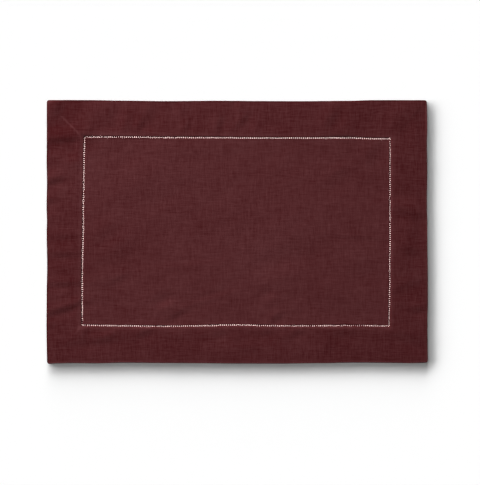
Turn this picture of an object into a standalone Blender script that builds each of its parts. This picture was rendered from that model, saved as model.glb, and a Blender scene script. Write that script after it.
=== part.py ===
"""Hemstitched linen placemat, lying flat.

One cloth with a wide hem turned to its back on all four sides and mitred at the corners. A line of
drawn threads runs round the field where the hem ends. Metres, +Z up: X runs along the long sides, Y
across them, and the origin is the middle of the underside, which lies flat at Z = 0.
"""
import math

import bmesh
import bpy

MM = 0.001

# Cloth
LENGTH = 508 * MM  # long sides, along X
WIDTH = 350 * MM  # short sides, along Y
HEM = 49 * MM  # outer fold to the hemstitch line
FIELD_THICK = 1.0 * MM  # one layer
HEM_THICK = 1.9 * MM  # beside the hemstitch: two layers and the turned-in edge
FOLD_THICK = 1.6 * MM  # at the outer fold: two layers
CORNER_RADII = (3.6 * MM, 2.8 * MM, 3.0 * MM, 2.8 * MM)  # bottom left, then counter-clockwise

# Hemstitch line and mitres
LINE_HALF = 1.0 * MM  # half the width of the drawn-thread line and of a mitre's ridge
LINE_FLOOR = 0.5 * MM  # height of the few threads left in the line
MITRE_RISE = 0.25 * MM
CREASE_PEAK = math.sqrt(2 * math.e)  # scales a crease to its own height

# Steps of the mesh
FIELD_CELLS_X = 76
FIELD_CELLS_Y = 52
HEM_STEPS = 9
FOLD_STEPS = 4

LINEN_COLOUR = (0.083, 0.020, 0.022, 1.0)  # wine red
LINEN_ROUGHNESS = 0.9

# How far each side wanders, in mm, at a share of its length from the left or the bottom: the outer
# fold outwards, and the hemstitch line inwards from its nominal place.
SHARE, FOLD_OUT, LINE_IN = range(3)
BOTTOM_SIDE = (
    (0.00, 1.6, 1.3),
    (0.03, 0.5, 1.3),
    (0.06, 0.1, 1.3),
    (0.12, 0.5, 1.2),
    (0.20, -0.3, 0.6),
    (0.31, 0.1, 0.0),
    (0.40, 0.4, 0.6),
    (0.49, 0.8, 1.8),
    (0.62, 0.9, 0.6),
    (0.72, 0.2, 0.7),
    (0.82, -0.5, 1.0),
    (0.91, -0.1, 0.3),
    (0.95, 0.3, 0.3),
    (1.00, -0.4, 0.3),
)
TOP_SIDE = (
    (0.00, 1.1, -0.8),
    (0.10, 1.1, -0.8),
    (0.21, 0.3, -0.7),
    (0.31, -0.3, 0.0),
    (0.45, 0.2, 0.1),
    (0.55, -0.2, 0.6),
    (0.67, -0.4, 0.6),
    (0.79, 0.1, 0.4),
    (0.86, 1.0, 1.4),
    (1.00, 1.0, 1.8),
)
LEFT_SIDE = (
    (0.00, -0.2, -1.7),
    (0.15, 0.5, -1.7),
    (0.26, 0.2, -1.7),
    (0.38, -0.5, -1.5),
    (0.50, 0.3, -0.4),
    (0.54, -0.2, -0.3),
    (0.60, 0.4, -0.3),
    (0.69, -0.2, 0.3),
    (0.77, 0.3, 0.6),
    (0.85, 0.1, 1.5),
    (1.00, 0.1, 1.8),
)
RIGHT_SIDE = (
    (0.00, 0.9, 1.9),
    (0.06, 0.5, 1.9),
    (0.17, 0.3, 1.9),
    (0.22, 0.7, 1.5),
    (0.30, 0.7, 1.1),
    (0.50, 0.1, 0.7),
    (0.62, -0.5, 0.9),
    (0.74, 0.0, 0.7),
    (0.84, -0.5, 0.7),
    (0.90, 0.0, 0.7),
    (1.00, -0.6, 0.8),
)

# Soft creases left in the cloth: centre in mm, heading in degrees from +X, half length along the
# heading and half width across it in mm, and how far the cloth rises to the left of the heading and
# dips to its right, in mm (it dips to the left where this is negative).
CREASES = (
    # hem at the left
    (-241, 160, 45, 32, 18.0, 0.60),
    (-223, 157, 45, 18, 12.0, 0.32),
    (-237, 131, 5, 34, 6.0, 0.38),
    (-237, 121, 5, 35, 8.0, 1.32),
    (-237, 112, 5, 34, 5.0, 0.20),
    (-218, 100, 10, 12, 10.0, -0.55),
    (-247, 81, 10, 13, 8.0, -0.31),
    (-245, 67, 12, 15, 6.0, 0.58),
    (-250, 41, 0, 9, 5.0, 0.47),
    (-250, 25, 0, 11, 7.0, -0.27),
    (-229, -7, 0, 19, 6.0, 0.25),
    (-234, -31, 0, 25, 7.0, 0.43),
    (-234, -70, 0, 27, 6.0, 0.49),
    (-213, -88, 0, 9, 6.0, -0.31),
    (-231, -104, 15, 29, 6.6, 0.66),
    (-250, -126, 0, 8, 5.0, 0.27),
    # hem at the top
    (-237, 167, 75, 11, 10.0, 0.57),
    (-215, 138, 80, 5, 5.0, 0.23),
    (-194, 138, 80, 5, 5.0, 0.23),
    (-180, 150, 45, 30, 16.0, 0.24),
    (-156, 147, 80, 17, 10.0, -0.60),
    (-128, 139, 70, 11, 7.0, 0.76),
    (-115, 159, 80, 15, 10.0, 0.38),
    (-79, 168, 85, 9, 7.0, -0.38),
    (-67, 138, 80, 8, 6.0, 0.42),
    (-23, 143, 80, 12, 7.0, 0.47),
    (8, 148, 50, 15, 6.0, 0.34),
    (-1, 168, 80, 8, 7.0, -0.34),
    (20, 139, 80, 8, 7.0, -0.27),
    (48, 137, 0, 20, 8.0, -0.16),
    (128, 152, 60, 16, 11.0, 0.58),
    (167, 152, 60, 45, 34.0, 0.50),
    # hem at the right
    (225, 150, 45, 30, 18.0, 0.50),
    (244, 142, 90, 19, 10.0, 0.31),
    (207, 121, 0, 7, 5.0, -0.24),
    (223, 43, -8, 24, 10.0, -0.27),
    (231, 23, -14, 27, 9.6, 0.41),
    (236, -5, 80, 38, 14.0, 0.30),
    (236, -27, -20, 17, 9.6, 0.37),
    (228, -72, 20, 21, 8.4, 0.27),
    (242, -104, 0, 11, 7.0, 0.58),
    (218, -99, 0, 8, 6.4, 0.12),
    (228, -142, -20, 24, 10.6, 0.53),
    # hem at the bottom
    (-202, -134, 60, 8, 8.0, 0.35),
    (-175, -134, 20, 13, 7.0, -0.35),
    (-123, -135, 20, 12, 8.0, 0.42),
    (-79, -132, 0, 11, 7.0, -0.22),
    (-47, -132, 0, 8, 6.0, -0.26),
    (-20, -134, 20, 11, 8.0, 0.22),
    (1, -134, 0, 13, 7.0, -0.32),
    (39, -134, 20, 9, 7.0, 0.29),
    (64, -134, 0, 9, 7.0, -0.32),
    (81, -134, 30, 9, 7.0, 0.38),
    (143, -135, 0, 19, 9.0, 0.30),
    (202, -131, 0, 7, 6.0, -0.22),
    (-194, -146, 5, 40, 9.0, 0.36),
    (0, -149, 0, 78, 16.0, -0.28),
    (16, -158, 0, 15, 9.0, 0.24),
    (123, -155, 60, 16, 12.0, 0.16),
    # field
    (-175, -2, 35, 19, 13.0, 0.38),
    (-167, -68, 15, 35, 16.0, 0.34),
    (-70, 106, 0, 90, 14.0, 0.14),
    (-98, 35, 20, 28, 16.0, -0.18),
    (60, -48, 15, 35, 18.0, -0.40),
    (135, 68, 15, 23, 16.0, 0.34),
    (183, 105, 60, 18, 14.0, 0.38),
    (175, -45, 0, 34, 18.0, 0.18),
    (-130, 99, 38, 59, 34.0, -0.50),
    (-154, -29, 30, 37, 24.0, 0.37),
    (-95, -96, 20, 13, 8.0, -0.60),
    (-79, -110, 27, 16, 6.4, 0.30),
    (-36, -87, 17, 29, 4.2, -0.18),
    (-59, -41, 5, 43, 5.0, -0.12),
    (43, -86, 20, 11, 8.0, -0.30),
    (53, -115, 35, 12, 7.2, 0.36),
    (136, 79, 10, 11, 8.0, 0.16),
    (162, -8, -4, 40, 4.2, 0.14),
    (-155, -62, 20, 11, 6.4, 0.18),
    (137, 109, -30, 80, 40.0, 0.39),
    (84, -24, 30, 67, 34.0, 0.28),
    (-183, -91, 0, 27, 13.0, 0.13),
    (124, -91, -20, 53, 21.0, 0.20),
)


def mix(start, end, share):
    return start + (end - start) * share


def wander(side, column, share):
    """Read a side's table at a share of its length, with smooth steps between the rows."""
    for low, high in zip(side, side[1:]):
        if share <= high[SHARE]:
            step = (share - low[SHARE]) / (high[SHARE] - low[SHARE])
            return mix(low[column], high[column], step * step * (3 - 2 * step)) * MM
    return side[-1][column] * MM


def crease_rise(x, y):
    """Height that the creases add at a place on the cloth."""
    rise = 0.0
    for px, py, heading, half_length, half_width, height in CREASES:
        turn = math.radians(heading)
        dx = x / MM - px
        dy = y / MM - py
        along = (dx * math.cos(turn) + dy * math.sin(turn)) / half_length
        across = (dy * math.cos(turn) - dx * math.sin(turn)) / half_width
        away = along * along + across * across
        if away < 9:
            rise += height * CREASE_PEAK * across * math.exp(-away)
    return rise * MM


def creased(x, y, height):
    """A height with the creases added; the cloth stays at least one layer thick."""
    rise = crease_rise(x, y) * min(1.0, height / FOLD_THICK)
    return max(min(height, FIELD_THICK), height + rise)


def on_line(u, v):
    """Place in the field; u and v go from 0 to 1 between the hemstitch lines."""
    x = (u - 0.5) * (LENGTH - 2 * HEM)
    y = (v - 0.5) * (WIDTH - 2 * HEM)
    share_x = 0.5 + x / LENGTH
    share_y = 0.5 + y / WIDTH
    x += mix(wander(LEFT_SIDE, LINE_IN, share_y), -wander(RIGHT_SIDE, LINE_IN, share_y), u)
    y += mix(wander(BOTTOM_SIDE, LINE_IN, share_x), -wander(TOP_SIDE, LINE_IN, share_x), v)
    return x, y


def round_corner(x, y, inset):
    """Bend a place on the outline, drawn in by inset, round the nearest corner."""
    corner = (1 if x > 0 else 0) if y < 0 else (2 if x > 0 else 3)
    radius = CORNER_RADII[corner] - inset
    corner_x = LENGTH / 2 - inset
    corner_y = WIDTH / 2 - inset
    from_corner = max(corner_x - abs(x), corner_y - abs(y))
    if radius <= 0 or from_corner >= radius:
        return x, y
    lean = math.pi / 4 * (1 - from_corner / radius)
    near = radius * (1 - math.sin(math.pi / 2 - lean))
    far = radius * (1 - math.sin(lean))
    if corner_x - abs(x) < corner_y - abs(y):
        near, far = far, near
    return math.copysign(corner_x - far, x), math.copysign(corner_y - near, y)


def on_fold(u, v, inset):
    """Place on the outer fold, or inset from it, beside the point u, v of the field's rim."""
    x, y = round_corner((u - 0.5) * (LENGTH - 2 * inset), (v - 0.5) * (WIDTH - 2 * inset), inset)
    x += mix(-wander(LEFT_SIDE, FOLD_OUT, v), wander(RIGHT_SIDE, FOLD_OUT, v), u)
    y += mix(-wander(BOTTOM_SIDE, FOLD_OUT, u), wander(TOP_SIDE, FOLD_OUT, u), v)
    return x, y


def cell_share(index, cells, length):
    """Share of a row of cells whose first and last are only as wide as the line's half."""
    if index in (0, cells):
        return index / cells
    narrow = LINE_HALF / length
    return mix(narrow, 1 - narrow, (index - 1) / (cells - 2))


def make_field(mesh, u_layer, v_layer):
    """Grid of the single layer; its rim is the floor of the hemstitch line."""
    bmesh.ops.create_grid(mesh, x_segments=FIELD_CELLS_X, y_segments=FIELD_CELLS_Y, size=0.5)
    for vert in mesh.verts:
        column = round((vert.co.x + 0.5) * FIELD_CELLS_X)
        row = round((vert.co.y + 0.5) * FIELD_CELLS_Y)
        u = cell_share(column, FIELD_CELLS_X, LENGTH - 2 * HEM)
        v = cell_share(row, FIELD_CELLS_Y, WIDTH - 2 * HEM)
        vert[u_layer] = u
        vert[v_layer] = v
        x, y = on_line(u, v)
        rim = column in (0, FIELD_CELLS_X) or row in (0, FIELD_CELLS_Y)
        vert.co = (x, y, LINE_FLOOR if rim else creased(x, y, FIELD_THICK))


def hem_rings():
    """Rings from the hemstitch line to the underside: share of the hem, inset, height."""
    radius = FOLD_THICK / 2
    flat = HEM - radius
    for step in range(HEM_STEPS + 1):
        share = mix(LINE_HALF, flat, step / HEM_STEPS) / flat
        yield share, radius, mix(HEM_THICK, FOLD_THICK, share)
    for step in range(1, FOLD_STEPS + 1):
        turn = math.pi * step / FOLD_STEPS
        yield 1.0, radius * (1 - math.sin(turn)), radius * (1 + math.cos(turn))


def draw_out_ring(mesh, rim, u_layer, v_layer, share, inset, height):
    """Extrude the rim to its next ring and return the new rim."""
    made = bmesh.ops.extrude_edge_only(mesh, edges=rim)["geom"]
    for vert in (item for item in made if isinstance(item, bmesh.types.BMVert)):
        u = vert[u_layer]
        v = vert[v_layer]
        inner_x, inner_y = on_line(u, v)
        outer_x, outer_y = on_fold(u, v, inset)
        x = mix(inner_x, outer_x, share)
        y = mix(inner_y, outer_y, share)
        mitre = u in (0.0, 1.0) and v in (0.0, 1.0)
        vert.co = (x, y, creased(x, y, height) + (MITRE_RISE * (1 - share) if mitre else 0.0))
    return [item for item in made if isinstance(item, bmesh.types.BMEdge) and item.is_boundary]


def linen():
    material = bpy.data.materials.new("linen")
    material.use_nodes = True
    shader = material.node_tree.nodes["Principled BSDF"]
    shader.inputs["Base Color"].default_value = LINEN_COLOUR
    shader.inputs["Roughness"].default_value = LINEN_ROUGHNESS
    shader.inputs["Metallic"].default_value = 0.0
    return material


def make_placemat(collection):
    mesh = bmesh.new()
    u_layer = mesh.verts.layers.float.new("u")
    v_layer = mesh.verts.layers.float.new("v")
    make_field(mesh, u_layer, v_layer)
    rim = [edge for edge in mesh.edges if edge.is_boundary]
    for share, inset, height in hem_rings():
        rim = draw_out_ring(mesh, rim, u_layer, v_layer, share, inset, height)
    bmesh.ops.contextual_create(mesh, geom=rim)
    bmesh.ops.recalc_face_normals(mesh, faces=mesh.faces)
    cloth = bpy.data.meshes.new("placemat")
    mesh.to_mesh(cloth)
    mesh.free()
    cloth.shade_smooth()
    cloth.set_sharp_from_angle(angle=math.radians(40))
    cloth.materials.append(linen())
    placemat = bpy.data.objects.new("placemat", cloth)
    collection.objects.link(placemat)
    return placemat


def main():
    for old in list(bpy.data.objects):
        bpy.data.objects.remove(old, do_unlink=True)
    collection = bpy.data.collections.new("fabric_placemat")
    bpy.context.scene.collection.children.link(collection)
    make_placemat(collection)


main()
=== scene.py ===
"""Looks of a hemstitched linen placemat, lying flat.

The cloth is one thin sheet, cut, turned and mitred as a maker does it: the single layer of the
field, the drawn-thread line with its openings, the hem's front, the fold, the return on the back and
its turned-in edge. Metres, in the frame's own axes: +X to the right, +Y away from the maker, +Z up.
"""
import math
import random

import bmesh
import bpy
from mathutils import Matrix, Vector, noise


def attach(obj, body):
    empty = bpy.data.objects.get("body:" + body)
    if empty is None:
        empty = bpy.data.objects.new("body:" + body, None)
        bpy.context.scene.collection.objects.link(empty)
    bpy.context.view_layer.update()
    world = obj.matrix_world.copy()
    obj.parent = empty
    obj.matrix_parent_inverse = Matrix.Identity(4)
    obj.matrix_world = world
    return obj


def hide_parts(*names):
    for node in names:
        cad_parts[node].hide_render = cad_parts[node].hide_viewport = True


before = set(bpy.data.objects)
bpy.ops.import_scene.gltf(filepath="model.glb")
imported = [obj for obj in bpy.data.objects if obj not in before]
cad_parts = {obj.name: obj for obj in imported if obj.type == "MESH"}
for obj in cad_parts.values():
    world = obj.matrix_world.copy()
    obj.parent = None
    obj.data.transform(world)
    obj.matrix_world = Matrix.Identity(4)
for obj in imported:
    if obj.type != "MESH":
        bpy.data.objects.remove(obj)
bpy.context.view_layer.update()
MM = 0.001

# Outline of the cloth, the same as the solid's
LENGTH = 508 * MM
WIDTH = 350 * MM
HEM = 49 * MM
CORNER_RADII = (3.6 * MM, 2.8 * MM, 3.0 * MM, 2.8 * MM)  # bottom left, then counter-clockwise
CORNER_PULL = 0.75  # draws the fold's points towards its corners, to round them
CORNER_PULL_REACH = 6 * MM

# The cloth and its folds; heights are of the middle of the cloth's thickness
CLOTH = 0.52 * MM
CLEAR = 0.01 * MM
LAID = CLOTH / 2 + CLEAR
LAYER = CLOTH + 0.03 * MM
FIELD_LIFT = 0.72 * MM
FIELD_RISE = 0.13 * MM  # towards the line
FIELD_RISE_REACH = 4.84 * MM
FOLD_RADIUS = 0.465 * MM
TURN_RADIUS = LAYER / 2
TURN_AT = 1.75 * MM
RAW_EDGE_AT = 9 * MM
LAYERS_FROM = 1.6 * MM  # out from the line, where the front lies on the layers under it
CLEAR_OF_EDGE = 1.5 * MM
MITRE_BLEND = 9 * MM  # how far out from the line its square course turns into the mitres' rays
MITRE_RISE = 0.05 * MM
MITRE_VALLEY = 0.25 * MM
FOLD_STEPS = 6
TURN_STEPS = 4
CREASE_PEAK = math.sqrt(2 * math.e)  # scales a crease to its own height
CREASE_END = 3.0  # where a crease has died away, counted in its half lengths and half widths

# How much darker the hem shows than one layer, or lighter where negative, for the bottom, right, top
# and left: beside the line, painted light, strongest on the left and top; and on the outer fold, painted
# shade at the top and left and painted light at the bottom and right, as the key lamp falls on them;
# elsewhere it is 1, the two layers painted darker, standing in for the floor's light that the single
# field lets through
PAINTED_LIGHT_BY_LINE = (-0.4, -0.4, -0.9, -1.4)
PAINTED_SHADE_AND_LIGHT_ON_FOLD = (-4.0, -2.5, 3.4, 3.4)
SHADE_FROM = 1.2 * MM  # out from the line, where the hem's own shade begins
SHADE_REACH = 7.5 * MM
# out from the line, where the painted shade and light of the fold begin, at half strength
NEAR_FOLD = 47 * MM

# The cloth as it is cut, with its corners trimmed square to their diagonals for the mitres
TURNINGS = HEM - TURN_AT + RAW_EDGE_AT - TURN_AT
CUT_LENGTH = LENGTH + 2 * TURNINGS
CUT_WIDTH = WIDTH + 2 * TURNINGS
TRIMMED = 8 * TURNINGS ** 2

# Drawn-thread line: openings between bundles of threads
CELLS_X = 150
CELLS_Y = 92
RIM_CELLS = 2 * (CELLS_X + CELLS_Y)
PITCH = (LENGTH - 2 * HEM) / CELLS_X
WIDEST_HALF = 0.47 * PITCH  # keeps a bundle off the next one
LINE_HALF = 0.98 * MM
RIM_IN = 2.0 * MM  # inside the line, where the field's rim of points is
BUNDLE_HALVES = (0.53 * MM, 0.58 * MM, 0.43 * MM, 0.46 * MM)  # bottom, right, top, left
BUNDLE_UNEVEN = 0.06
BUNDLE_SEED = 11
THREAD = 0.20 * MM

# How far each side wanders, in mm, at a share of its length from the left or the bottom: the outer
# fold outwards, and the drawn-thread line inwards from its nominal place
SHARE, FOLD_OUT, LINE_IN = range(3)
BOTTOM_SIDE = (
    (0.00, 1.6, 1.3),
    (0.03, 0.5, 1.3),
    (0.06, 0.1, 1.3),
    (0.12, 0.5, 1.2),
    (0.20, -0.3, 0.6),
    (0.31, 0.1, 0.0),
    (0.40, 0.4, 0.6),
    (0.49, 0.8, 1.8),
    (0.62, 0.9, 0.6),
    (0.72, 0.2, 0.7),
    (0.82, -0.5, 1.0),
    (0.91, -0.1, 0.3),
    (0.95, 0.3, 0.3),
    (1.00, -0.4, 0.3),
)
TOP_SIDE = (
    (0.00, 1.1, -0.8),
    (0.10, 1.1, -0.8),
    (0.21, 0.3, -0.7),
    (0.31, -0.3, 0.0),
    (0.45, 0.2, 0.1),
    (0.55, -0.2, 0.6),
    (0.67, -0.4, 0.6),
    (0.79, 0.1, 0.4),
    (0.86, 1.0, 1.4),
    (1.00, 1.0, 1.8),
)
LEFT_SIDE = (
    (0.00, -0.2, -1.7),
    (0.15, 0.5, -1.7),
    (0.26, 0.2, -1.7),
    (0.38, -0.5, -1.5),
    (0.50, 0.3, -0.4),
    (0.54, -0.2, -0.3),
    (0.60, 0.4, -0.3),
    (0.69, -0.2, 0.3),
    (0.77, 0.3, 0.6),
    (0.85, 0.1, 1.5),
    (1.00, 0.1, 1.8),
)
RIGHT_SIDE = (
    (0.00, 0.9, 1.9),
    (0.06, 0.5, 1.9),
    (0.17, 0.3, 1.9),
    (0.22, 0.7, 1.5),
    (0.30, 0.7, 1.1),
    (0.50, 0.1, 0.7),
    (0.62, -0.5, 0.9),
    (0.74, 0.0, 0.7),
    (0.84, -0.5, 0.7),
    (0.90, 0.0, 0.7),
    (1.00, -0.6, 0.8),
)

# Soft creases left in the cloth: centre in mm, heading in degrees from +X, half length along the
# heading and half width across it in mm, and how far the cloth rises to the left of the heading and
# dips to its right, in mm; it dips to the left where this is negative
CREASES = (
    # hem at the left
    (-241, 160, 45, 32, 18.0, 0.60),
    (-223, 157, 45, 18, 12.0, 0.32),
    (-237, 131, 5, 34, 6.0, 0.38),
    (-237, 121, 5, 35, 8.0, 1.32),
    (-237, 112, 5, 34, 5.0, 0.20),
    (-218, 100, 10, 12, 10.0, -0.55),
    (-247, 81, 10, 13, 8.0, -0.31),
    (-245, 67, 12, 15, 6.0, 0.58),
    (-250, 41, 0, 9, 5.0, 0.47),
    (-250, 25, 0, 11, 7.0, -0.27),
    (-229, -7, 0, 19, 6.0, 0.25),
    (-234, -31, 0, 25, 7.0, 0.43),
    (-234, -70, 0, 27, 6.0, 0.49),
    (-213, -88, 0, 9, 6.0, -0.31),
    (-231, -104, 15, 29, 6.6, 0.66),
    (-250, -126, 0, 8, 5.0, 0.27),
    # hem at the top
    (-237, 167, 75, 11, 10.0, 0.57),
    (-215, 138, 80, 5, 5.0, 0.23),
    (-194, 138, 80, 5, 5.0, 0.23),
    (-180, 150, 45, 30, 16.0, 0.24),
    (-156, 147, 80, 17, 10.0, -0.60),
    (-128, 139, 70, 11, 7.0, 0.76),
    (-115, 159, 80, 15, 10.0, 0.38),
    (-79, 168, 85, 9, 7.0, -0.38),
    (-67, 138, 80, 8, 6.0, 0.42),
    (-23, 143, 80, 12, 7.0, 0.47),
    (8, 148, 50, 15, 6.0, 0.34),
    (-1, 168, 80, 8, 7.0, -0.34),
    (20, 139, 80, 8, 7.0, -0.27),
    (48, 137, 0, 20, 8.0, -0.16),
    (128, 152, 60, 16, 11.0, 0.58),
    (167, 152, 60, 45, 34.0, 0.50),
    # hem at the right
    (225, 150, 45, 30, 18.0, 0.50),
    (244, 142, 90, 19, 10.0, 0.31),
    (207, 121, 0, 7, 5.0, -0.24),
    (223, 43, -8, 24, 10.0, -0.27),
    (231, 23, -14, 27, 9.6, 0.41),
    (236, -5, 80, 38, 14.0, 0.30),
    (236, -27, -20, 17, 9.6, 0.37),
    (228, -72, 20, 21, 8.4, 0.27),
    (242, -104, 0, 11, 7.0, 0.58),
    (218, -99, 0, 8, 6.4, 0.12),
    (228, -142, -20, 24, 10.6, 0.53),
    # hem at the bottom
    (-202, -134, 60, 8, 8.0, 0.35),
    (-175, -134, 20, 13, 7.0, -0.35),
    (-123, -135, 20, 12, 8.0, 0.42),
    (-79, -132, 0, 11, 7.0, -0.22),
    (-47, -132, 0, 8, 6.0, -0.26),
    (-20, -134, 20, 11, 8.0, 0.22),
    (1, -134, 0, 13, 7.0, -0.32),
    (39, -134, 20, 9, 7.0, 0.29),
    (64, -134, 0, 9, 7.0, -0.32),
    (81, -134, 30, 9, 7.0, 0.38),
    (143, -135, 0, 19, 9.0, 0.30),
    (202, -131, 0, 7, 6.0, -0.22),
    (-194, -146, 5, 40, 9.0, 0.36),
    (0, -149, 0, 78, 16.0, -0.28),
    (16, -158, 0, 15, 9.0, 0.24),
    (123, -155, 60, 16, 12.0, 0.16),
    # field
    (-175, -2, 35, 19, 13.0, 0.38),
    (-167, -68, 15, 35, 16.0, 0.34),
    (-70, 106, 0, 90, 14.0, 0.14),
    (-98, 35, 20, 28, 16.0, -0.18),
    (60, -48, 15, 35, 18.0, -0.40),
    (135, 68, 15, 23, 16.0, 0.34),
    (183, 105, 60, 18, 14.0, 0.38),
    (175, -45, 0, 34, 18.0, 0.18),
    (-130, 99, 38, 59, 34.0, -0.50),
    (-154, -29, 30, 37, 24.0, 0.37),
    (-95, -96, 20, 13, 8.0, -0.60),
    (-79, -110, 27, 16, 6.4, 0.30),
    (-36, -87, 17, 29, 4.2, -0.18),
    (-59, -41, 5, 43, 5.0, -0.12),
    (43, -86, 20, 11, 8.0, -0.30),
    (53, -115, 35, 12, 7.2, 0.36),
    (136, 79, 10, 11, 8.0, 0.16),
    (162, -8, -4, 40, 4.2, 0.14),
    (-155, -62, 20, 11, 6.4, 0.18),
    (137, 109, -30, 80, 40.0, 0.39),
    (84, -24, 30, 67, 34.0, 0.28),
    (-183, -91, 0, 27, 13.0, 0.13),
    (124, -91, -20, 53, 21.0, 0.20),
)

# Stretches of the line whose openings are partly closed, or wider where negative: centre and reach in
# mm, and how much wider the halves of the bundles are there, in mm
WEAK_PLACES = (
    # top
    (-203.8, 126.5, 5.0, 0.26),
    (-178.5, 126.5, 2.0, 0.28),
    (-158.4, 126.5, 2.0, 0.42),
    (-89.0, 126.0, 15.0, -0.10),
    (-44.9, 126.5, 2.0, 0.25),
    # bottom
    (-201.2, -124.5, 2.0, 0.28),
    (-163.7, -125.0, 22.0, -0.10),
    (-109.0, -125.9, 2.0, 0.55),
    (72.7, -124.5, 2.0, 0.40),
    (98.1, -125.3, 2.0, 0.38),
    (106.1, -125.3, 2.0, 0.50),
    (122.0, -125.3, 13.0, -0.12),
    (138.2, -124.9, 2.0, 0.45),
    (154.9, -124.5, 15.0, 0.16),
    (156.6, -124.8, 2.5, 0.75),
    (166.2, -124.5, 2.0, 0.50),
    (190.3, -124.5, 2.0, 0.28),
    # left
    (-205.0, 52.7, 2.0, 0.50),
    (-206.5, -50.2, 2.0, 0.40),
    (-206.7, -114.3, 2.0, 0.40),
    (-206.9, -121.0, 2.2, 0.52),
    # right
    (204.1, 120.8, 2.0, 0.40),
    (204.0, 44.7, 2.0, 0.42),
    (204.1, 12.6, 2.0, 0.50),
    (203.3, -55.5, 2.0, 0.20),
    (200.9, -110.3, 5.0, 0.14),
    (203.1, -117.0, 2.0, 0.30),
    (201.6, -123.0, 3.5, 0.15),
)

# Broad soft places of painted shade on the cloth, or of painted light where negative: centre and reach
# in mm, and how much, as a share of the hem's own shade
PAINTED_SHADE_PLACES = (
    # hems
    (-225, 142, 28, 1.3),
    (-241, 133, 12, 1.3),
    (-216, 172, 15, 1.3),
    (-246, 171, 8, 1.5),
    (-247, 112, 8, 1.0),
    (-212, 87, 12, -1.4),
    (-221, 58, 25, -0.6),
    (-147, 165, 35, 0.35),
    (0, 165, 20, -0.45),
    (136, 160, 22, 0.60),
    (205, 165, 25, 0.35),
    (236, 144, 22, 0.50),
    (236, -11, 22, 0.60),
    (243, -24, 14, 0.50),
    (230, -96, 15, -0.60),
    (65, -140, 40, -0.45),
    (-29, -137, 25, -0.60),
    (-250, 160, 10, -1.10),
    (-217, 99, 9, 1.30),
    (-196, -134, 9, 0.90),
    (-155, 172, 10, -0.70),
    (-102, 166, 10, 0.70),
    (-71, -170, 12, -0.80),
    (-72, -139, 10, -0.60),
    (111, 154, 7, 0.90),
    (179, 136, 6, 0.90),
    (207, -170, 12, 0.70),
    # field
    (-199, 115, 8, 1.9),
    (-175, 101, 30, 0.45),
    (-175, -11, 35, 0.50),
    (-155, -83, 22, 0.45),
    (-98, -32, 18, 0.50),
    (-20, 16, 30, 0.30),
    (31, -40, 45, -0.60),
    (175, 101, 30, 0.50),
    (135, 67, 25, 0.40),
    (175, -67, 30, 0.40),
    (194, 20, 12, 0.90),
    (-194, -52, 12, 0.85),
    (-82, 15, 14, -0.75),
    (50, -111, 7, 1.00),
    (-162, -8, 7, 0.90),
)

# Height of the hem's front, in mm, by the distance from the line in mm
FRONT_OF_HEM = (
    (0.98, 1.02),
    (1.5, 1.26),
    (2.2, 1.40),
    (4.0, 1.47),
    (6.0, 1.51),
    (9.0, 1.53),
    (15.0, 1.50),
    (22.0, 1.44),
    (36.0, 1.36),
    (44.0, 1.31),
    (49.0, 1.20),
)

# Rings of points in the hem's front, its return on the back and the turned-in edge, in mm from the line
FRONT_STEPS = (1.5, 2.2, 4.0, 5.8, 8.0, 11.0, 14.0, 17.0, 20.0, 23.0,
               26.0, 29.0, 32.0, 35.0, 38.0, 41.0, 44.0, 46.2, 47.4)
BACK_STEPS = (45.0, 39.0, 33.0, 27.0, 21.0, 15.0, 10.0, 6.0, 3.5)
TURNED_STEPS = (3.5, 6.0, 9.0)

# Soft waves of the cloth: a wave's length along the run and across it in mm, seed, and height in mm
SLANT = 35  # of the field's slanting waves, in degrees from +X
SLANTING_WAVE = (75, 15, 3.1, 0.12)
BROAD_WAVE = (60, 50, 7.7, 0.22)
HEM_RIPPLES = ((11, 45, 5.3, 0.07), (32, 60, 9.9, 0.10))
RIPPLES_FROM = 1.2 * MM  # out from the line, where the hem's ripples and creases begin
RIPPLES_REACH = 2 * MM


def mix(start, end, share):
    return start + (end - start) * share


# ---------------------------------------------------------------- the cloth's plan


def wander(side, column, share):
    """Read a side's table at a share of its length, with smooth steps between the rows."""
    for low, high in zip(side, side[1:]):
        if share <= high[SHARE]:
            step = (share - low[SHARE]) / (high[SHARE] - low[SHARE])
            return mix(low[column], high[column], step * step * (3 - 2 * step)) * MM
    return side[-1][column] * MM


def on_line(u, v):
    """Place in the field; u and v go from 0 to 1 between the drawn-thread lines."""
    x = (u - 0.5) * (LENGTH - 2 * HEM)
    y = (v - 0.5) * (WIDTH - 2 * HEM)
    share_x = 0.5 + x / LENGTH
    share_y = 0.5 + y / WIDTH
    x += mix(wander(LEFT_SIDE, LINE_IN, share_y), -wander(RIGHT_SIDE, LINE_IN, share_y), u)
    y += mix(wander(BOTTOM_SIDE, LINE_IN, share_x), -wander(TOP_SIDE, LINE_IN, share_x), v)
    return x, y


def in_field(u, v, inset):
    """Place in the field, kept at least the inset inside the line."""
    margin_u = inset / (LENGTH - 2 * HEM)
    margin_v = inset / (WIDTH - 2 * HEM)
    return on_line(min(max(u, margin_u), 1 - margin_u), min(max(v, margin_v), 1 - margin_v))


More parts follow.
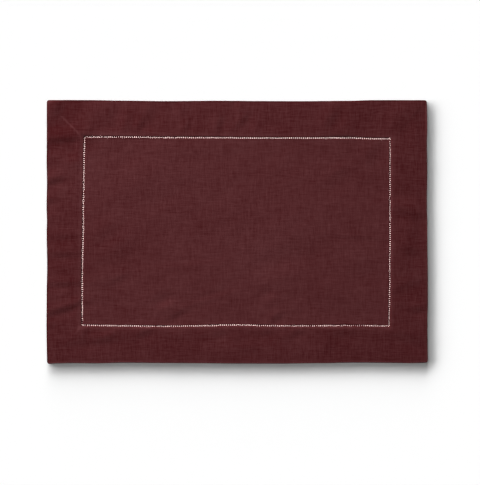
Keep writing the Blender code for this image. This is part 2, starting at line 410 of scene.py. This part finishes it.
def on_fold(u, v):
    """Place on the outer fold beside the point u, v of the field's rim, round at the corners."""
    x = (u - 0.5) * LENGTH
    y = (v - 0.5) * WIDTH
    from_corner = max(LENGTH / 2 - abs(x), WIDTH / 2 - abs(y))
    corner = (1 if x > 0 else 0) if y < 0 else (2 if x > 0 else 3)
    radius = CORNER_RADII[corner]
    closer = from_corner * CORNER_PULL * math.exp(-from_corner / CORNER_PULL_REACH)
    if abs(abs(x) - LENGTH / 2) < from_corner / 2:
        y = math.copysign(abs(y) + closer, y)
    else:
        x = math.copysign(abs(x) + closer, x)
    from_corner -= closer
    if from_corner < radius:
        lean = math.pi / 4 * (1 - from_corner / radius)
        near = radius * (1 - math.cos(lean))
        far = radius * (1 - math.sin(lean))
        if LENGTH / 2 - abs(x) < WIDTH / 2 - abs(y):
            near, far = far, near
        x = math.copysign(LENGTH / 2 - far, x)
        y = math.copysign(WIDTH / 2 - near, y)
    x += mix(-wander(LEFT_SIDE, FOLD_OUT, v), wander(RIGHT_SIDE, FOLD_OUT, v), u)
    y += mix(-wander(BOTTOM_SIDE, FOLD_OUT, u), wander(TOP_SIDE, FOLD_OUT, u), v)
    return x, y


def rim_uv(cell):
    """u and v on the field's rim, counted in cells from the near left corner, counter-clockwise."""
    cell %= RIM_CELLS
    if cell < CELLS_X:
        return cell / CELLS_X, 0.0
    cell -= CELLS_X
    if cell < CELLS_Y:
        return 1.0, cell / CELLS_Y
    cell -= CELLS_Y
    if cell < CELLS_X:
        return 1 - cell / CELLS_X, 1.0
    return 0.0, 1 - (cell - CELLS_X) / CELLS_Y


BOTTOM_LEFT = 0
TOP_LEFT = 2 * CELLS_X + CELLS_Y
CORNERS = (BOTTOM_LEFT, CELLS_X, CELLS_X + CELLS_Y, TOP_LEFT)

# Stretches of the mitres painted as a thin highlight line: from and to in mm out from the line, and how
# much less shade they have
PAINTED_MITRE_HIGHLIGHTS = {TOP_LEFT + 1: (7, 32, 2.8), BOTTOM_LEFT: (2.5, 10, 1.8)}


def beside_line(cell, out):
    """Place at a cell of the rim, out from the line towards the fold, or inside it if negative.

    Square to the line near it, and on rays that meet in the mitres further out.
    """
    whole = math.floor(cell)
    if whole != cell:
        x, y = beside_line(whole, out)
        x_after, y_after = beside_line(whole + 1, out)
        return mix(x, x_after, cell - whole), mix(y, y_after, cell - whole)
    u, v = rim_uv(cell)
    line_x, line_y = on_line(u, v)
    x = line_x + out * ((u == 1) - (u == 0))
    y = line_y + out * ((v == 1) - (v == 0))
    if out > 0:
        fold_x, fold_y = on_fold(u, v)
        share = min(1.0, max(0.0, (out - LINE_HALF) / MITRE_BLEND))
        share *= share * (3 - 2 * share)
        x = mix(x, mix(line_x, fold_x, out / HEM), share)
        y = mix(y, mix(line_y, fold_y, out / HEM), share)
    return x, y


# ---------------------------------------------------------------- the cloth's heights


def crease_rise(x, y):
    """Height that the creases add at a place on the cloth."""
    rise = 0.0
    for px, py, heading, half_length, half_width, height in CREASES:
        turn = math.radians(heading)
        dx = x / MM - px
        dy = y / MM - py
        along = (dx * math.cos(turn) + dy * math.sin(turn)) / half_length
        across = (dy * math.cos(turn) - dx * math.sin(turn)) / half_width
        away = along * along + across * across
        if away < CREASE_END ** 2:
            rise += height * CREASE_PEAK * across * math.exp(-away)
    return rise * MM


def waves(along, across, kind):
    """Height of one kind of soft waves at a place along the run and across it."""
    length, width, seed, height = kind
    return noise.noise(Vector((along / (length * MM), across / (width * MM), seed))) * height


def field_height(x, y, inset):
    """Height of the single layer, with slanting waves left from the wash and the iron."""
    slant = math.radians(SLANT)
    along = x * math.cos(slant) + y * math.sin(slant)
    across = y * math.cos(slant) - x * math.sin(slant)
    uneven = waves(along, across, SLANTING_WAVE) + waves(x, y, BROAD_WAVE)
    rise = FIELD_RISE * math.exp(-inset / FIELD_RISE_REACH)
    return max(LAID, FIELD_LIFT + rise + crease_rise(x, y) + uneven * MM)


def front_height(x, y, out):
    """Height of the hem's front, rippled across its run; it never sinks into the layers under it."""
    height = FRONT_OF_HEM[-1][1]
    for low, high in zip(FRONT_OF_HEM, FRONT_OF_HEM[1:]):
        if out / MM <= high[0]:
            height = mix(low[1], high[1], (out / MM - low[0]) / (high[0] - low[0]))
            break
    long_side = WIDTH / 2 - abs(y) < LENGTH / 2 - abs(x)
    run, across = (x, y) if long_side else (y, x)
    ripple = sum(waves(run, across, kind) for kind in HEM_RIPPLES)
    fade = min(1.0, max(0.0, out - RIPPLES_FROM) / RIPPLES_REACH)
    layers_below = 2 if out < RAW_EDGE_AT + CLEAR_OF_EDGE else 1
    lowest = LAID + layers_below * LAYER if out > LAYERS_FROM else 0.0
    return max(lowest, height * MM + (crease_rise(x, y) + ripple * MM) * fade)


def painted_place_shade(x, y):
    """How much painted shade the broad soft places put on the cloth, or painted light where negative."""
    shade = 0.0
    for px, py, reach_mm, darker in PAINTED_SHADE_PLACES:
        away = math.hypot(x / MM - px, y / MM - py) / reach_mm
        shade += darker * math.exp(-away * away)
    return shade


def nearest_side(x, y):
    """0 at the bottom, then counter-clockwise."""
    room = (WIDTH / 2 + y, LENGTH / 2 - x, WIDTH / 2 - y, LENGTH / 2 + x)
    return room.index(min(room))


def layers_and_painted_shade(x, y, out):
    """How much darker the hem shows than one layer: its two layers, painted light beside the line,
    painted shade and light on the fold, and the soft places' painted shade.
    """
    side = nearest_side(x, y)
    from_line = min(1.0, max(0.0, (out - SHADE_FROM) / SHADE_REACH))
    to_fold = 0.5 if out > NEAR_FOLD else 0.0
    shade = mix(PAINTED_LIGHT_BY_LINE[side], 1.0, from_line * from_line * (3 - 2 * from_line))
    return mix(shade, PAINTED_SHADE_AND_LIGHT_ON_FOLD[side], to_fold) + painted_place_shade(x, y)


# Painted shade on the fold at the top and left, painted light at the bottom and right
def painted_fold_shade(x, y, out):
    return PAINTED_SHADE_AND_LIGHT_ON_FOLD[nearest_side(x, y)]


# ---------------------------------------------------------------- the cloth's mesh


class Cloth:
    """Points and faces of the cloth's middle surface, with how much darker the cloth shows at each, from
    its layers and from painted light and shade.
    """

    def __init__(self):
        self.points = []
        self.shades = []
        self.faces = []

    def point(self, x, y, z, shade):
        self.points.append((x, y, z))
        self.shades.append(shade)
        return len(self.points) - 1

    def ring(self, out, height, shade=layers_and_painted_shade, corner_rise=0.0):
        """A closed row of points, one to a cell."""
        made = []
        for cell in range(RIM_CELLS):
            x, y = beside_line(cell, out)
            z = height(x, y, out) if callable(height) else height
            if cell in CORNERS:
                z += corner_rise
            # painted highlight along stretches of the mitres
            start, end, lighter = PAINTED_MITRE_HIGHLIGHTS.get(cell, (0, 0, 0))
            mitre_highlight = lighter if start < out / MM < end else 0.0
            made.append(self.point(x, y, z, shade(x, y, out) - mitre_highlight))
        return made

    def join(self, inner, outer):
        for cell in range(RIM_CELLS):
            after = (cell + 1) % RIM_CELLS
            self.faces.append((inner[cell], outer[cell], outer[after], inner[after]))

    def object(self, name, thickness):
        mesh = bpy.data.meshes.new(name)
        mesh.from_pydata(self.points, [], self.faces)
        attribute = mesh.attributes.new("shade", "FLOAT", "POINT")
        attribute.data.foreach_set("value", self.shades)
        mesh.shade_smooth()
        cloth = bpy.data.objects.new(name, mesh)
        bpy.context.scene.collection.objects.link(cloth)
        solid = cloth.modifiers.new("cloth thickness", "SOLIDIFY")
        solid.thickness = thickness
        solid.offset = 0.0
        solid.use_even_offset = True
        return cloth


def add_field(cloth):
    """The single layer inside the line; returns its rim as a ring."""
    grid = {}
    for row in range(CELLS_Y + 1):
        for column in range(CELLS_X + 1):
            x, y = in_field(column / CELLS_X, row / CELLS_Y, RIM_IN)
            inset = min(column, CELLS_X - column, row, CELLS_Y - row) * PITCH
            grid[column, row] = cloth.point(x, y, field_height(x, y, inset), painted_place_shade(x, y))
    for row in range(CELLS_Y):
        for column in range(CELLS_X):
            cloth.faces.append((grid[column, row], grid[column + 1, row],
                                grid[column + 1, row + 1], grid[column, row + 1]))
    rim = []
    for cell in range(RIM_CELLS):
        u, v = rim_uv(cell)
        rim.append(grid[round(u * CELLS_X), round(v * CELLS_Y)])
    return rim


def bundle_halves():
    """Half widths of the bundles of threads, uneven as hand-guided sewing leaves them."""
    draw = random.Random(BUNDLE_SEED)
    halves = []
    for side, count in zip(BUNDLE_HALVES, (CELLS_X, CELLS_Y, CELLS_X, CELLS_Y)):
        halves += [side * draw.uniform(1 - BUNDLE_UNEVEN, 1 + BUNDLE_UNEVEN) for _ in range(count)]
    for x, y, away, closed in WEAK_PLACES:
        for cell in range(RIM_CELLS):
            line_x, line_y = beside_line(cell, 0)
            distance = math.hypot(line_x - x * MM, line_y - y * MM) / (away * MM)
            halves[cell] += closed * MM * math.exp(-distance ** 4)
    return halves


# Rows across the line: place out from it in mm, height in mm, and a bundle's width in waists
BUNDLE_ROWS = (
    (-0.98, 0.84, 1.75),
    (-0.62, 0.87, 1.15),
    (0.0, 0.92, 1.0),
    (0.62, 0.98, 1.15),
    (0.98, 1.04, 1.75),
)


def add_openwork(cloth, rim, halves):
    """The bundles of threads across the line, with the openings between them; returns the hem's ring."""
    rows = []
    for out, height, wide in BUNDLE_ROWS:
        row = []
        for cell in range(RIM_CELLS):
            half = min(halves[cell] * wide, WIDEST_HALF) / PITCH
            for edge in (cell - half, cell + half):
                x, y = beside_line(edge, out * MM)
                row.append(cloth.point(x, y, height * MM, 0.0))
        rows.append(row)
    hem = cloth.ring(FRONT_STEPS[0] * MM, front_height)
    first, last = rows[0], rows[-1]
    for cell in range(RIM_CELLS):
        left, right = 2 * cell, 2 * cell + 1
        after = (cell + 1) % RIM_CELLS
        next_left = 2 * after
        cloth.faces.append((rim[cell], first[left], first[right]))
        cloth.faces.append((rim[cell], first[right], first[next_left], rim[after]))
        for row, further in zip(rows, rows[1:]):
            cloth.faces.append((row[left], further[left], further[right], row[right]))
        cloth.faces.append((hem[cell], last[right], last[left]))
        cloth.faces.append((hem[cell], hem[after], last[next_left], last[right]))
    return hem


def add_hem(cloth, ring):
    """Front of the hem, outer fold, return and turned-in edge, each a run of rings."""
    for out in FRONT_STEPS[1:]:
        new = cloth.ring(out * MM, front_height, corner_rise=MITRE_RISE)
        cloth.join(ring, new)
        ring = new
    fold_at = HEM - CLOTH / 2 - FOLD_RADIUS
    for step in range(FOLD_STEPS + 1):
        turn = math.pi / 2 - math.pi * step / FOLD_STEPS
        out = fold_at + FOLD_RADIUS * math.cos(turn)
        height = LAID + FOLD_RADIUS * (1 + math.sin(turn))
        new = cloth.ring(out, height, painted_fold_shade)
        cloth.join(ring, new)
        ring = new
    for out in BACK_STEPS:
        new = cloth.ring(out * MM, LAID, corner_rise=MITRE_VALLEY)
        cloth.join(ring, new)
        ring = new
    for step in range(TURN_STEPS + 1):
        turn = math.pi * step / TURN_STEPS
        out = TURN_AT - TURN_RADIUS * math.sin(turn)
        new = cloth.ring(out, LAID + TURN_RADIUS * (1 - math.cos(turn)))
        cloth.join(ring, new)
        ring = new
    for out in TURNED_STEPS:
        new = cloth.ring(out * MM, LAID + LAYER)
        cloth.join(ring, new)
        ring = new


def make_cloth(halves):
    cloth = Cloth()
    rim = add_field(cloth)
    hem = add_openwork(cloth, rim, halves)
    add_hem(cloth, hem)
    return cloth.object("linen_cloth", CLOTH)


# ---------------------------------------------------------------- sewing


WRAP_STEPS = 11
WRAP_TURNS = 2
WRAP_WIDE = 1.5  # a bundle's width at its wraps, in waists
WRAP_SLIDE = 1.2 * THREAD  # how far the turns advance along the bundle
WRAP_AT_HEM = (0.82 * MM, 1.01 * MM)  # place out from the line, and height
WRAP_AT_FIELD = (-0.82 * MM, 0.855 * MM)
PROUD = THREAD * 0.25  # how far a thread's middle stands off the cloth
STRAND = 0.7 * THREAD  # how far past the line the strand between two bundles runs
CAP_WELD = 0.001 * MM  # joins the threads' end caps to them

# Slip stitches of the mitres
MITRE_FROM = 3 * MM
MITRE_TO = 46 * MM
MITRE_STITCHES = 19
STITCH_ACROSS = 0.55 * MM
STITCH_ALONG = 0.2 * MM
STITCH_HEIGHT = 0.13 * MM
STITCH_SINK = 0.05 * MM


def wrap_run(place, halves):
    """Points of one thread round the line, which wraps each bundle and runs on under the cloth."""
    out, height = place
    edge = math.copysign(LINE_HALF + STRAND, out)
    rise = CLOTH / 2 + PROUD
    points = []
    for cell in range(RIM_CELLS):
        if cell in CORNERS:
            points.append(Vector((*beside_line(cell, edge), height - rise)))
            continue
        centre = Vector((*beside_line(cell, out), height))
        along = (Vector((*beside_line(cell + 0.1, out), height)) - centre).normalized()
        away = Vector((along.y, -along.x, 0))
        reach = min(halves[cell] * WRAP_WIDE + PROUD, (PITCH - THREAD) / 2)
        under = away * (edge - out) + Vector((0, 0, -rise))
        points.append(centre + under - along * reach)
        for step in range(WRAP_STEPS):
            share = step / (WRAP_STEPS - 1)
            turn = math.pi * (1 + 2 * WRAP_TURNS * share)
            slide = WRAP_SLIDE * (0.5 - share)
            points.append(centre + along * (reach * math.sin(turn)) + away * slide
                          + Vector((0, 0, rise * math.cos(turn))))
        points.append(centre + under + along * reach)
    return points


def make_thread(name, runs):
    """Thread along each run of points; a run is closed into a loop where it says so."""
    curve = bpy.data.curves.new(name, "CURVE")
    curve.dimensions = "3D"
    curve.bevel_depth = THREAD / 2
    curve.bevel_resolution = 1
    curve.use_fill_caps = True
    for points, closed in runs:
        spline = curve.splines.new("POLY")
        spline.points.add(len(points) - 1)
        for point, place in zip(spline.points, points):
            point.co = (*place, 1)
        spline.use_cyclic_u = closed
    drawn = bpy.data.objects.new(name, curve)
    mesh = bpy.data.meshes.new_from_object(drawn)
    mesh.name = name
    welded = bmesh.new()
    welded.from_mesh(mesh)
    bmesh.ops.remove_doubles(welded, verts=welded.verts, dist=CAP_WELD)
    welded.to_mesh(mesh)
    welded.free()
    bpy.data.objects.remove(drawn)
    bpy.data.curves.remove(curve)
    mesh.shade_smooth()
    thread = bpy.data.objects.new(name, mesh)
    bpy.context.scene.collection.objects.link(thread)
    return thread


def mitre_stitches():
    """Slip stitches that close the mitres on the back."""
    runs = []
    for cell in CORNERS:
        inner = Vector((*beside_line(cell, MITRE_FROM), 0))
        outer = Vector((*beside_line(cell, MITRE_TO), 0))
        seam = (outer - inner).normalized()
        across = Vector((seam.y, -seam.x, 0))
        for stitch in range(MITRE_STITCHES):
            middle = inner.lerp(outer, (stitch + 0.5) / MITRE_STITCHES)
            run = []
            for step in range(-2, 3):
                place = middle + across * step * STITCH_ACROSS + seam * step * STITCH_ALONG
                place.z = STITCH_HEIGHT + (STITCH_SINK if abs(step) == 2 else 0)
                run.append(place)
            runs.append((run, False))
    return runs


# ---------------------------------------------------------------- finishes


class Wire:
    """A socket that takes part in Python expressions; each operator adds its Math node."""

    def __init__(self, tree, socket):
        self.tree = tree
        self.socket = socket

    def math(self, operation, *others, swap=False):
        values = (*others, self) if swap else (self, *others)
        return self.tree.add("ShaderNodeMath", {"operation": operation}, dict(enumerate(values)))

    def __add__(self, other):
        return self.math("ADD", other)

    __radd__ = __add__

    def __mul__(self, other):
        return self.math("MULTIPLY", other)

    __rmul__ = __mul__

    def __sub__(self, other):
        return self.math("SUBTRACT", other)

    def __rsub__(self, other):
        return self.math("SUBTRACT", other, swap=True)

    def __truediv__(self, other):
        return self.math("DIVIDE", other)

    def __rtruediv__(self, other):
        return self.math("DIVIDE", other, swap=True)

    def __pow__(self, other):
        return self.math("POWER", other)

    def __rpow__(self, other):
        return self.math("POWER", other, swap=True)

    def __gt__(self, other):
        return self.math("GREATER_THAN", other)

    def __abs__(self):
        return self.math("ABSOLUTE")

    def sine(self):
        return self.math("SINE")

    def floor(self):
        return self.math("FLOOR")


class Nodes:
    """A node tree being made, and the one way in which its nodes are added."""

    def __init__(self, owner):
        owner.use_nodes = True
        self.nodes = owner.node_tree.nodes
        self.links = owner.node_tree.links
        self.nodes.clear()

    def add(self, kind, settings=None, sockets=None, out=0):
        """A node with its settings and the values or wires of its sockets; returns one output."""
        node = self.nodes.new(kind)
        for name, value in (settings or {}).items():
            setattr(node, name, value)
        for name, value in (sockets or {}).items():
            if isinstance(value, Wire):
                self.links.new(value.socket, node.inputs[name])
            else:
                node.inputs[name].default_value = value
        return Wire(self, node.outputs[out]) if node.outputs else None


class Finish(Nodes):
    """A material of the cloth or its thread."""

    def __init__(self, name):
        self.material = bpy.data.materials.new(name)
        super().__init__(self.material)

    def place(self):
        """The cloth's own x, y and z, in metres."""
        here = self.add("ShaderNodeTexCoord", out="Object")
        return [self.add("ShaderNodeSeparateXYZ", sockets={0: here}, out=axis) for axis in range(3)]

    def grain(self, x, y, z, detail=1.0, rough=0.5):
        """Noise from 0 to 1 at a place whose unit is one grain."""
        where = self.add("ShaderNodeCombineXYZ", sockets={0: x, 1: y, 2: z})
        return self.add("ShaderNodeTexNoise", sockets={"Vector": where, "Scale": 1.0, "Detail": detail,
                                                       "Roughness": rough})

    def blend(self, share, dark, light):
        """From the dark colour to the light one."""
        return self.add("ShaderNodeMix", {"data_type": "RGBA"}, {0: share, 6: dark, 7: light}, out=2)

    def done(self, surface):
        self.add("ShaderNodeOutputMaterial", sockets={"Surface": surface})
        return self.material


# The cloth's weave and colours
YARN = 0.62 * MM  # from one to the next
SWAY = 2.5  # how far the yarns stray, in yarns
SWAY_LENGTH = 60 * MM
SWAY_WIDTH = 30 * MM
SLUB_LENGTH = 9 * MM
NEXT_SLUBS = 3.7  # from one yarn's slubs to the next one's, in grains
ROUNDNESS = 0.6
CLOUD_LENGTH = 45 * MM
CLOUD_WIDTH = 35 * MM
WINE_DARK = (0.0531, 0.0065, 0.0077, 1.0)
WINE_LIGHT = (0.1181, 0.0352, 0.0379, 1.0)

# Streaks of several yarns together: width, length, seed and strength
STREAKS = (
    (1.15 * MM, 11 * MM, 60.5, 1.0),
    (2.4 * MM, 38 * MM, 61.5, 0.35),
)

# The cloth's tone, from 0 for dark to 1 for light, and what each feature adds to it
TONE = 0.36
# painted shade: the weave's hollows come out darker and its raised yarns lighter
RELIEF_PAINTED_SHADE = 0.16
YARN_TONE = 0.62
STREAK_TONE = 0.62
CLOUD_TONE = 0.35
# a shade of 1 is the hem's two layers; the shade also holds painted light and shade
LAYER_AND_PAINTED_SHADE = 0.14  # what a shade of 1 takes from it
WEAVE_DEPTH = 0.042 * MM
STREAK_DEPTH = 0.6  # in weaves
LINEN_GLEAM = 0.04

# The sewing thread
TWIST = 0.35 * MM  # from one turn to the next
TWIST_DEPTH = 0.03 * MM
THREAD_UNEVEN = 4 * MM
THREAD_GLEAM = 0.05


def weave(finish, x, y):
    """Plain weave: relief from 0 to 1, and the light and dark of its yarns about 0."""
    sway_x = (finish.grain(x / SWAY_WIDTH, y / SWAY_LENGTH, 1.5) - 0.5) * SWAY
    sway_y = (finish.grain(x / SWAY_LENGTH, y / SWAY_WIDTH, 8.5) - 0.5) * SWAY
    warp = x / YARN + sway_x
    weft = y / YARN + sway_y
    warp_wave = (warp * math.pi).sine()
    weft_wave = (weft * math.pi).sine()
    warp_round = abs(warp_wave)
    weft_round = abs(weft_wave)
    warp_on_top = warp_wave * weft_wave > 0.0
    warp_fat = finish.grain(warp.floor() * NEXT_SLUBS, y / SLUB_LENGTH, 20.5, 2.0)
    weft_fat = finish.grain(x / SLUB_LENGTH, weft.floor() * NEXT_SLUBS, 40.5, 2.0)
    warp_relief = (warp_round ** ROUNDNESS) * (0.4 + weft_round * 0.6) * (0.6 + warp_fat * 0.8)
    weft_relief = (weft_round ** ROUNDNESS) * (0.4 + warp_round * 0.6) * (0.6 + weft_fat * 0.8)
    relief = weft_relief + (warp_relief - weft_relief) * warp_on_top
    tone = (weft_fat - 0.5) + (warp_fat - weft_fat) * warp_on_top
    return relief, tone


def streaks(finish, x, y):
    """Thick and thin stretches of several yarns together, both ways, about 0."""
    runs = 0.0
    for width, length, seed, strength in STREAKS:
        down = finish.grain(x / width, y / length, seed)
        across = finish.grain(x / length, y / width, seed + 20)
        runs = runs + (down + across - 1.0) * strength
    return runs


def linen_finish():
    finish = Finish("wine_linen")
    x, y, _ = finish.place()
    relief, yarn_tone = weave(finish, x, y)
    runs = streaks(finish, x, y)
    cloudy = finish.grain(x / CLOUD_LENGTH, y / CLOUD_WIDTH, 5.5, 3.0) - 0.5
    # the shade attribute: the hem's layers, with painted light and shade beside the line, on the folds,
    # along the mitres and in soft places
    shade = finish.add("ShaderNodeAttribute", {"attribute_name": "shade"}, out="Fac")
    tone = TONE + relief * RELIEF_PAINTED_SHADE + yarn_tone * YARN_TONE + runs * STREAK_TONE
    tone = tone + cloudy * CLOUD_TONE - shade * LAYER_AND_PAINTED_SHADE
    colour = finish.blend(tone, WINE_DARK, WINE_LIGHT)
    bump = finish.add(
        "ShaderNodeBump",
        sockets={"Strength": 1.0, "Distance": WEAVE_DEPTH, "Height": relief + runs * STREAK_DEPTH},
    )
    surface = finish.add(
        "ShaderNodeBsdfPrincipled",
        sockets={
            "Base Color": colour,
            "Roughness": 0.92 - relief * 0.08,
            "Specular IOR Level": LINEN_GLEAM,
            "Normal": bump,
        },
    )
    return finish.done(surface)


def thread_finish():
    finish = Finish("sewing_thread")
    x, y, z = finish.place()
    twist = ((x + y * 0.7 + z) * (2 * math.pi / TWIST)).sine()
    uneven = finish.grain(x / THREAD_UNEVEN, y / THREAD_UNEVEN, 2.5, 2.0)
    # painted shade: the twist's grooves come out darker and its ridges lighter
    colour = finish.blend(0.25 + twist * 0.12 + uneven * 0.4, WINE_DARK, WINE_LIGHT)
    bump = finish.add(
        "ShaderNodeBump",
        sockets={"Strength": 0.6, "Distance": TWIST_DEPTH, "Height": twist},
    )
    surface = finish.add(
        "ShaderNodeBsdfPrincipled",
        sockets={
            "Base Color": colour,
            "Roughness": 0.75 + uneven * 0.1,
            "Specular IOR Level": THREAD_GLEAM,
            "Normal": bump,
        },
    )
    return finish.done(surface)


# ---------------------------------------------------------------- floor, light and camera


WHITE = (1.0, 1.0, 1.0, 1.0)
FLOOR_ALBEDO = 0.9
FLOOR_HALF = 6.0
FILL_STRENGTH = 0.08

# Key lamp and overhead sun, which fall on the cloth; headings, heights and spread in degrees
KEY_HEADING = 128
KEY_HEIGHT = 20
KEY_DISTANCE = 3.5
KEY_SIZE = 1.4
KEY_STRENGTH = 271.0
OVERHEAD_HEIGHT = 80
OVERHEAD_SHARE = 0.17
OVERHEAD_SPREAD = 30

# Row of low suns that give the floor its soft shadow: heading and height in degrees
LOW_LAMPS = (
    (87, 3.4),
    (99, 3.4),
    (114, 3.4),
    (129, 4.5),
    (144, 4.5),
    (159, 4.5),
    (180, 4.5),
)
LOW_SHARE = 0.93  # of full white, from all of them
LOW_SPREAD = 6

# Lamp above the cloth that falls on the floor, through the openings
THROUGH_HEIGHT = 0.25
THROUGH_STRENGTH = 0.36
THROUGH_SPREAD = 8
THROUGH_COLOUR = (1.0, 0.70, 0.67)
THROUGH_LENGTH = LENGTH - HEM
THROUGH_WIDTH = WIDTH - 0.8 * HEM

# Camera straight above, a little to the right of the cloth's middle and nearer the maker; its lens
# and sensor in mm
LENS = 85
SENSOR = 36
SEEN_HEIGHT = 647.9 * MM  # of the picture, on the floor
SEEN_MIDDLE = (3.9 * MM, -14.1 * MM)
PIXEL_FILTER = 1.4


def floor_finish():
    finish = Finish("pale_floor")
    surface = finish.add(
        "ShaderNodeBsdfPrincipled",
        sockets={
            "Base Color": (FLOOR_ALBEDO, FLOOR_ALBEDO, FLOOR_ALBEDO, 1.0),
            "Roughness": 0.9,
            "Specular IOR Level": 0.0,
        },
    )
    return finish.done(surface)


def make_floor():
    corners = [(-1, -1), (1, -1), (1, 1), (-1, 1)]
    mesh = bpy.data.meshes.new("floor")
    mesh.from_pydata([(x * FLOOR_HALF, y * FLOOR_HALF, 0) for x, y in corners], [], [(0, 1, 2, 3)])
    mesh.materials.append(floor_finish())
    floor = bpy.data.objects.new("floor", mesh)
    bpy.context.scene.collection.objects.link(floor)
    return floor


def reach(name, pieces):
    """The pieces that a light falls on."""
    group = bpy.data.collections.new(name)
    for piece in pieces:
        group.objects.link(piece)
    return group


def towards(heading, height):
    turn = math.radians(heading)
    up = math.radians(height)
    return Vector((math.cos(turn) * math.cos(up), math.sin(turn) * math.cos(up), math.sin(up)))


def add_light(name, kind, strength, direction, falls_on, **settings):
    """A lamp that shines from a direction, on one group of pieces only."""
    light = bpy.data.lights.new(name, kind)
    light.energy = strength
    for setting, value in settings.items():
        setattr(light, setting, value)
    lamp = bpy.data.objects.new(name, light)
    lamp.rotation_mode = "QUATERNION"
    lamp.rotation_quaternion = direction.to_track_quat("Z", "Y")
    lamp.visible_camera = False
    lamp.light_linking.receiver_collection = falls_on
    bpy.context.scene.collection.objects.link(lamp)
    return lamp


def sun_for(share, height):
    """Strength of a sun that gives the floor a share of full white from a height in degrees."""
    return share * math.pi / (FLOOR_ALBEDO * math.sin(math.radians(height)))


def make_lamps(cloth_pieces, floor):
    cloth_reach = reach("cloth_reach", cloth_pieces)
    floor_reach = reach("floor_reach", [floor])
    key_from = towards(KEY_HEADING, KEY_HEIGHT)
    key = add_light("key", "AREA", KEY_STRENGTH, key_from, cloth_reach, shape="DISK", size=KEY_SIZE)
    key.location = key_from * KEY_DISTANCE
    add_light("overhead", "SUN", sun_for(OVERHEAD_SHARE, OVERHEAD_HEIGHT),
              towards(KEY_HEADING, OVERHEAD_HEIGHT), cloth_reach, angle=math.radians(OVERHEAD_SPREAD))
    for heading, height in LOW_LAMPS:
        add_light(f"low_{heading}", "SUN", sun_for(LOW_SHARE / len(LOW_LAMPS), height),
                  towards(heading, height), floor_reach, angle=math.radians(LOW_SPREAD))
    through = add_light("through_openings", "AREA", THROUGH_STRENGTH, Vector((0, 0, 1)), floor_reach,
                        shape="RECTANGLE", size=THROUGH_LENGTH, size_y=THROUGH_WIDTH,
                        spread=math.radians(THROUGH_SPREAD), color=THROUGH_COLOUR)
    through.location = (0, 0, THROUGH_HEIGHT)


def make_backdrop():
    """White wherever the camera sees past the floor, and a much weaker fill for the cloth."""
    world = bpy.data.worlds.new("studio")
    nodes = Nodes(world)
    seen = nodes.add("ShaderNodeLightPath", out="Is Camera Ray")
    fill = nodes.add("ShaderNodeBackground", sockets={"Color": WHITE, "Strength": FILL_STRENGTH})
    backdrop = nodes.add("ShaderNodeBackground", sockets={"Color": WHITE, "Strength": 1.0})
    either = nodes.add("ShaderNodeMixShader", sockets={0: seen, 1: fill, 2: backdrop})
    nodes.add("ShaderNodeOutputWorld", sockets={"Surface": either})
    bpy.context.scene.world = world


def make_camera():
    data = bpy.data.cameras.new("camera")
    data.lens = LENS
    data.sensor_width = SENSOR
    camera = bpy.data.objects.new("camera", data)
    camera.location = (*SEEN_MIDDLE, SEEN_HEIGHT * LENS / SENSOR)
    bpy.context.scene.collection.objects.link(camera)
    bpy.context.scene.camera = camera


def main():
    halves = bundle_halves()
    cloth = make_cloth(halves)
    cloth.data.materials.append(linen_finish())
    sewing = thread_finish()
    wraps_out = make_thread("hemstitch_at_hem", [(wrap_run(WRAP_AT_HEM, halves), True)])
    wraps_in = make_thread("hemstitch_at_field", [(wrap_run(WRAP_AT_FIELD, halves), True)])
    mitres = make_thread("mitre_stitches", mitre_stitches())
    for thread in (wraps_out, wraps_in, mitres):
        thread.data.materials.append(sewing)
    for piece in (cloth, wraps_out, wraps_in, mitres):
        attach(piece, "root")
    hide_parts("placemat")
    CUT_WIDTH * CUT_LENGTH - TRIMMED
    make_lamps([cloth, wraps_out, wraps_in, mitres], make_floor())
    make_backdrop()
    make_camera()
    bpy.context.scene.view_settings.view_transform = "Standard"
    bpy.context.scene.cycles.denoising_prefilter = "NONE"
    bpy.context.scene.cycles.filter_width = PIXEL_FILTER


main()
